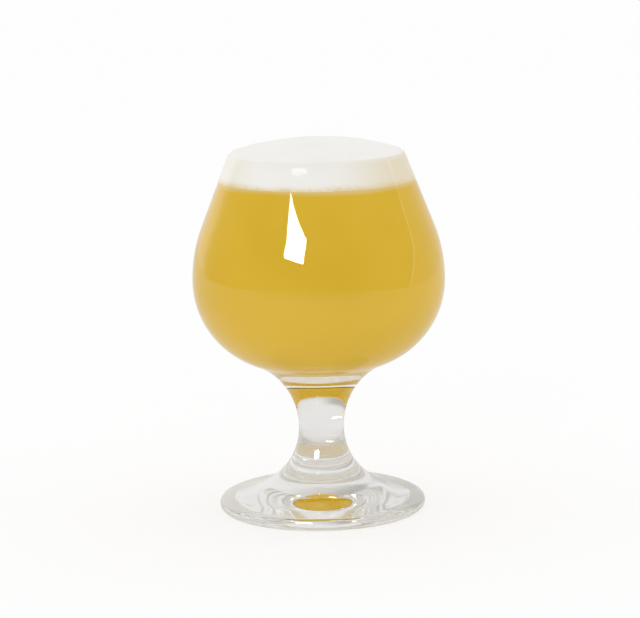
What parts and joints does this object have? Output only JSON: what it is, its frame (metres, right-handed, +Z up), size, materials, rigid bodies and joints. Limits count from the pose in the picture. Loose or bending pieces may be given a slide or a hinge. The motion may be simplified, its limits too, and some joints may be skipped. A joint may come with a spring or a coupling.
{
  "type": "snifter beer glass",
  "caption": "Short-stemmed beer glass with a round bowl that narrows to the mouth, a solid waisted stem and a broad foot, full of hazy golden beer under a domed head of foam.",
  "frame": {"origin": "on the table, under the centre of the foot", "axes": "+Z up along the axis of the glass, -Y towards the viewer of the picture; the glass is turned, so X and Y are alike"},
  "size_m": [0.0888, 0.0888, 0.1324],
  "materials": {
    "clear_glass": "clear colourless soda-lime glass, fire-polished",
    "beer": "hazy golden liquid",
    "foam": "fine creamy froth, matt"
  },
  "bodies": {
    "root": {"bowl": "clear_glass", "stem": "clear_glass", "foot": "clear_glass", "beer": "beer", "foam_head": "foam"}
  },
  "joints": []
}
